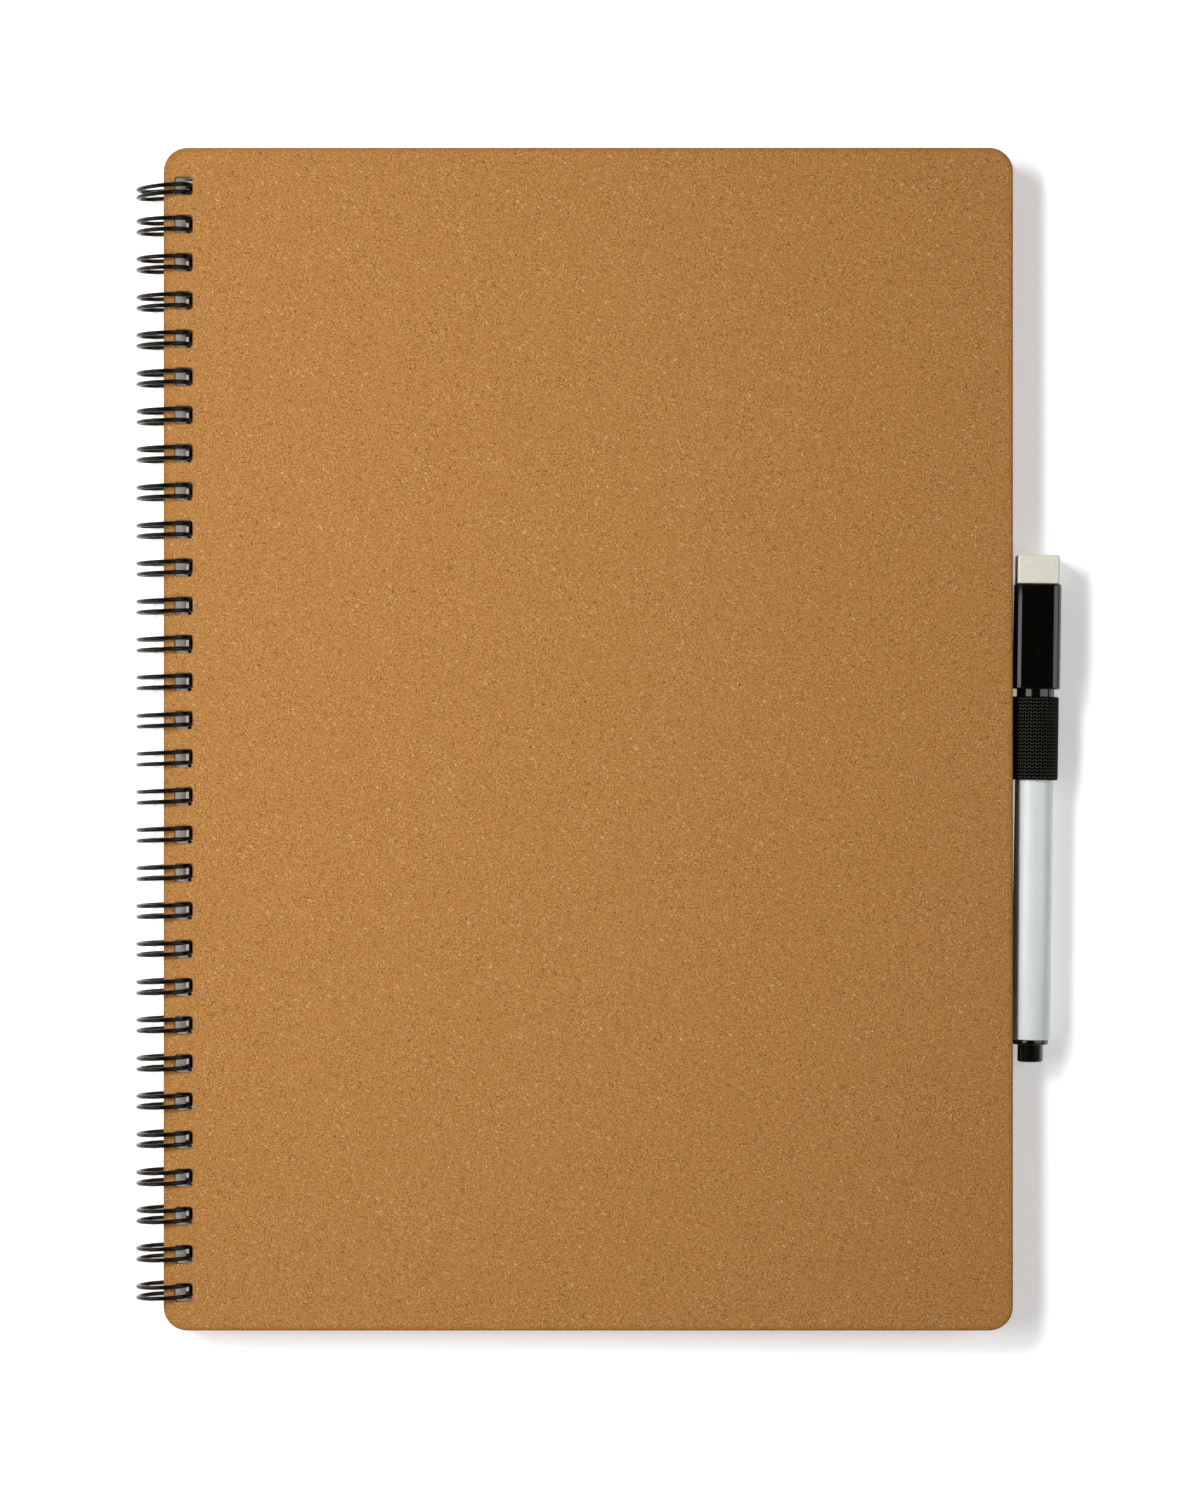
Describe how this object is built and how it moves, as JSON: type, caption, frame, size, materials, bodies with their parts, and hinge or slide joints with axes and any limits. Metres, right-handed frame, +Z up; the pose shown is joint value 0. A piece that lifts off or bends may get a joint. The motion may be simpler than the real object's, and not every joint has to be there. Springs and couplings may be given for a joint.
{
  "type": "wire-bound notebook with marker",
  "caption": "Wire-bound book with kraft board covers and punched leaves that turn on a twin-loop wire, and a small capped marker held in an elastic loop.",
  "frame": {"origin": "on the table under the middle of the closed book and marker together", "axes": "+X from the binding wire to the fore-edge, +Y up the page, +Z up from the table, through the front cover"},
  "size_m": [0.206, 0.2624, 0.0127],
  "materials": {
    "cover_board": "kraft board, matte, fine fibre fleck",
    "leaf_paper": "smooth coated white paper",
    "black_wire": "black nylon coated wire, semi-gloss",
    "black_elastic": "woven elastic webbing",
    "patch_paper": "kraft paper",
    "black_plastic": "moulded, glossy",
    "black_cap": "moulded, glossy",
    "white_barrel": "moulded, satin, cool pale grey",
    "reservoir_fibre": "wrapped fibre core",
    "nib_felt": "ink-soaked fibre tip",
    "eraser_felt": "pressed ivory felt"
  },
  "bodies": {
    "binding": {"back_cover": "cover_board", "wire_binding": "black_wire", "pen_loop": "black_elastic", "loop_patch": "patch_paper"},
    "leaf_01": {"leaf_01": "leaf_paper"},
    "leaf_02": {"leaf_02": "leaf_paper"},
    "leaf_03": {"leaf_03": "leaf_paper"},
    "leaf_04": {"leaf_04": "leaf_paper"},
    "leaf_05": {"leaf_05": "leaf_paper"},
    "leaf_06": {"leaf_06": "leaf_paper"},
    "leaf_07": {"leaf_07": "leaf_paper"},
    "leaf_08": {"leaf_08": "leaf_paper"},
    "leaf_09": {"leaf_09": "leaf_paper"},
    "leaf_10": {"leaf_10": "leaf_paper"},
    "leaf_11": {"leaf_11": "leaf_paper"},
    "leaf_12": {"leaf_12": "leaf_paper"},
    "leaf_13": {"leaf_13": "leaf_paper"},
    "leaf_14": {"leaf_14": "leaf_paper"},
    "leaf_15": {"leaf_15": "leaf_paper"},
    "leaf_16": {"leaf_16": "leaf_paper"},
    "leaf_17": {"leaf_17": "leaf_paper"},
    "leaf_18": {"leaf_18": "leaf_paper"},
    "leaf_19": {"leaf_19": "leaf_paper"},
    "leaf_20": {"leaf_20": "leaf_paper"},
    "leaf_21": {"leaf_21": "leaf_paper"},
    "leaf_22": {"leaf_22": "leaf_paper"},
    "leaf_23": {"leaf_23": "leaf_paper"},
    "leaf_24": {"leaf_24": "leaf_paper"},
    "front_cover": {"front_cover": "cover_board"},
    "marker": {"marker_barrel": "white_barrel", "marker_section": "black_plastic", "marker_nib": "nib_felt", "ink_reservoir": "reservoir_fibre", "end_plug": "black_plastic"},
    "cap": {"marker_cap": "black_cap", "felt_eraser": "eraser_felt"}
  },
  "joints": [
    {"name": "leaf_24_turn", "type": "hinge", "parent": "binding", "child": "leaf_24", "pos_m": [-0.09663, 0, 0.00635], "axis": [0, -1, 0], "range_deg": [0, 180]},
    {"name": "leaf_23_turn", "type": "hinge", "parent": "leaf_24", "child": "leaf_23", "pos_m": [-0.09663, 0, 0.00635], "axis": [0, -1, 0], "range_deg": [0, 180]},
    {"name": "leaf_22_turn", "type": "hinge", "parent": "leaf_23", "child": "leaf_22", "pos_m": [-0.09663, 0, 0.00635], "axis": [0, -1, 0], "range_deg": [0, 180]},
    {"name": "leaf_21_turn", "type": "hinge", "parent": "leaf_22", "child": "leaf_21", "pos_m": [-0.09663, 0, 0.00635], "axis": [0, -1, 0], "range_deg": [0, 180]},
    {"name": "leaf_20_turn", "type": "hinge", "parent": "leaf_21", "child": "leaf_20", "pos_m": [-0.09663, 0, 0.00635], "axis": [0, -1, 0], "range_deg": [0, 180]},
    {"name": "leaf_19_turn", "type": "hinge", "parent": "leaf_20", "child": "leaf_19", "pos_m": [-0.09663, 0, 0.00635], "axis": [0, -1, 0], "range_deg": [0, 180]},
    {"name": "leaf_18_turn", "type": "hinge", "parent": "leaf_19", "child": "leaf_18", "pos_m": [-0.09663, 0, 0.00635], "axis": [0, -1, 0], "range_deg": [0, 180]},
    {"name": "leaf_17_turn", "type": "hinge", "parent": "leaf_18", "child": "leaf_17", "pos_m": [-0.09663, 0, 0.00635], "axis": [0, -1, 0], "range_deg": [0, 180]},
    {"name": "leaf_16_turn", "type": "hinge", "parent": "leaf_17", "child": "leaf_16", "pos_m": [-0.09663, 0, 0.00635], "axis": [0, -1, 0], "range_deg": [0, 180]},
    {"name": "leaf_15_turn", "type": "hinge", "parent": "leaf_16", "child": "leaf_15", "pos_m": [-0.09663, 0, 0.00635], "axis": [0, -1, 0], "range_deg": [0, 180]},
    {"name": "leaf_14_turn", "type": "hinge", "parent": "leaf_15", "child": "leaf_14", "pos_m": [-0.09663, 0, 0.00635], "axis": [0, -1, 0], "range_deg": [0, 180]},
    {"name": "leaf_13_turn", "type": "hinge", "parent": "leaf_14", "child": "leaf_13", "pos_m": [-0.09663, 0, 0.00635], "axis": [0, -1, 0], "range_deg": [0, 180]},
    {"name": "leaf_12_turn", "type": "hinge", "parent": "leaf_13", "child": "leaf_12", "pos_m": [-0.09663, 0, 0.00635], "axis": [0, -1, 0], "range_deg": [0, 180]},
    {"name": "leaf_11_turn", "type": "hinge", "parent": "leaf_12", "child": "leaf_11", "pos_m": [-0.09663, 0, 0.00635], "axis": [0, -1, 0], "range_deg": [0, 180]},
    {"name": "leaf_10_turn", "type": "hinge", "parent": "leaf_11", "child": "leaf_10", "pos_m": [-0.09663, 0, 0.00635], "axis": [0, -1, 0], "range_deg": [0, 180]},
    {"name": "leaf_09_turn", "type": "hinge", "parent": "leaf_10", "child": "leaf_09", "pos_m": [-0.09663, 0, 0.00635], "axis": [0, -1, 0], "range_deg": [0, 180]},
    {"name": "leaf_08_turn", "type": "hinge", "parent": "leaf_09", "child": "leaf_08", "pos_m": [-0.09663, 0, 0.00635], "axis": [0, -1, 0], "range_deg": [0, 180]},
    {"name": "leaf_07_turn", "type": "hinge", "parent": "leaf_08", "child": "leaf_07", "pos_m": [-0.09663, 0, 0.00635], "axis": [0, -1, 0], "range_deg": [0, 180]},
    {"name": "leaf_06_turn", "type": "hinge", "parent": "leaf_07", "child": "leaf_06", "pos_m": [-0.09663, 0, 0.00635], "axis": [0, -1, 0], "range_deg": [0, 180]},
    {"name": "leaf_05_turn", "type": "hinge", "parent": "leaf_06", "child": "leaf_05", "pos_m": [-0.09663, 0, 0.00635], "axis": [0, -1, 0], "range_deg": [0, 180]},
    {"name": "leaf_04_turn", "type": "hinge", "parent": "leaf_05", "child": "leaf_04", "pos_m": [-0.09663, 0, 0.00635], "axis": [0, -1, 0], "range_deg": [0, 180]},
    {"name": "leaf_03_turn", "type": "hinge", "parent": "leaf_04", "child": "leaf_03", "pos_m": [-0.09663, 0, 0.00635], "axis": [0, -1, 0], "range_deg": [0, 180]},
    {"name": "leaf_02_turn", "type": "hinge", "parent": "leaf_03", "child": "leaf_02", "pos_m": [-0.09663, 0, 0.00635], "axis": [0, -1, 0], "range_deg": [0, 180]},
    {"name": "leaf_01_turn", "type": "hinge", "parent": "leaf_02", "child": "leaf_01", "pos_m": [-0.09663, 0, 0.00635], "axis": [0, -1, 0], "range_deg": [0, 180]},
    {"name": "front_cover_turn", "type": "hinge", "parent": "leaf_01", "child": "front_cover", "pos_m": [-0.09663, 0, 0.00635], "axis": [0, -1, 0], "range_deg": [0, 180]},
    {"name": "marker_pull", "type": "slide", "parent": "binding", "child": "marker", "axis": [0.0148, 0.9999, 0], "range_m": [0, 0.085]},
    {"name": "cap_pull", "type": "slide", "parent": "marker", "child": "cap", "axis": [0.0148, 0.9999, 0], "range_m": [0, 0.03]}
  ]
}
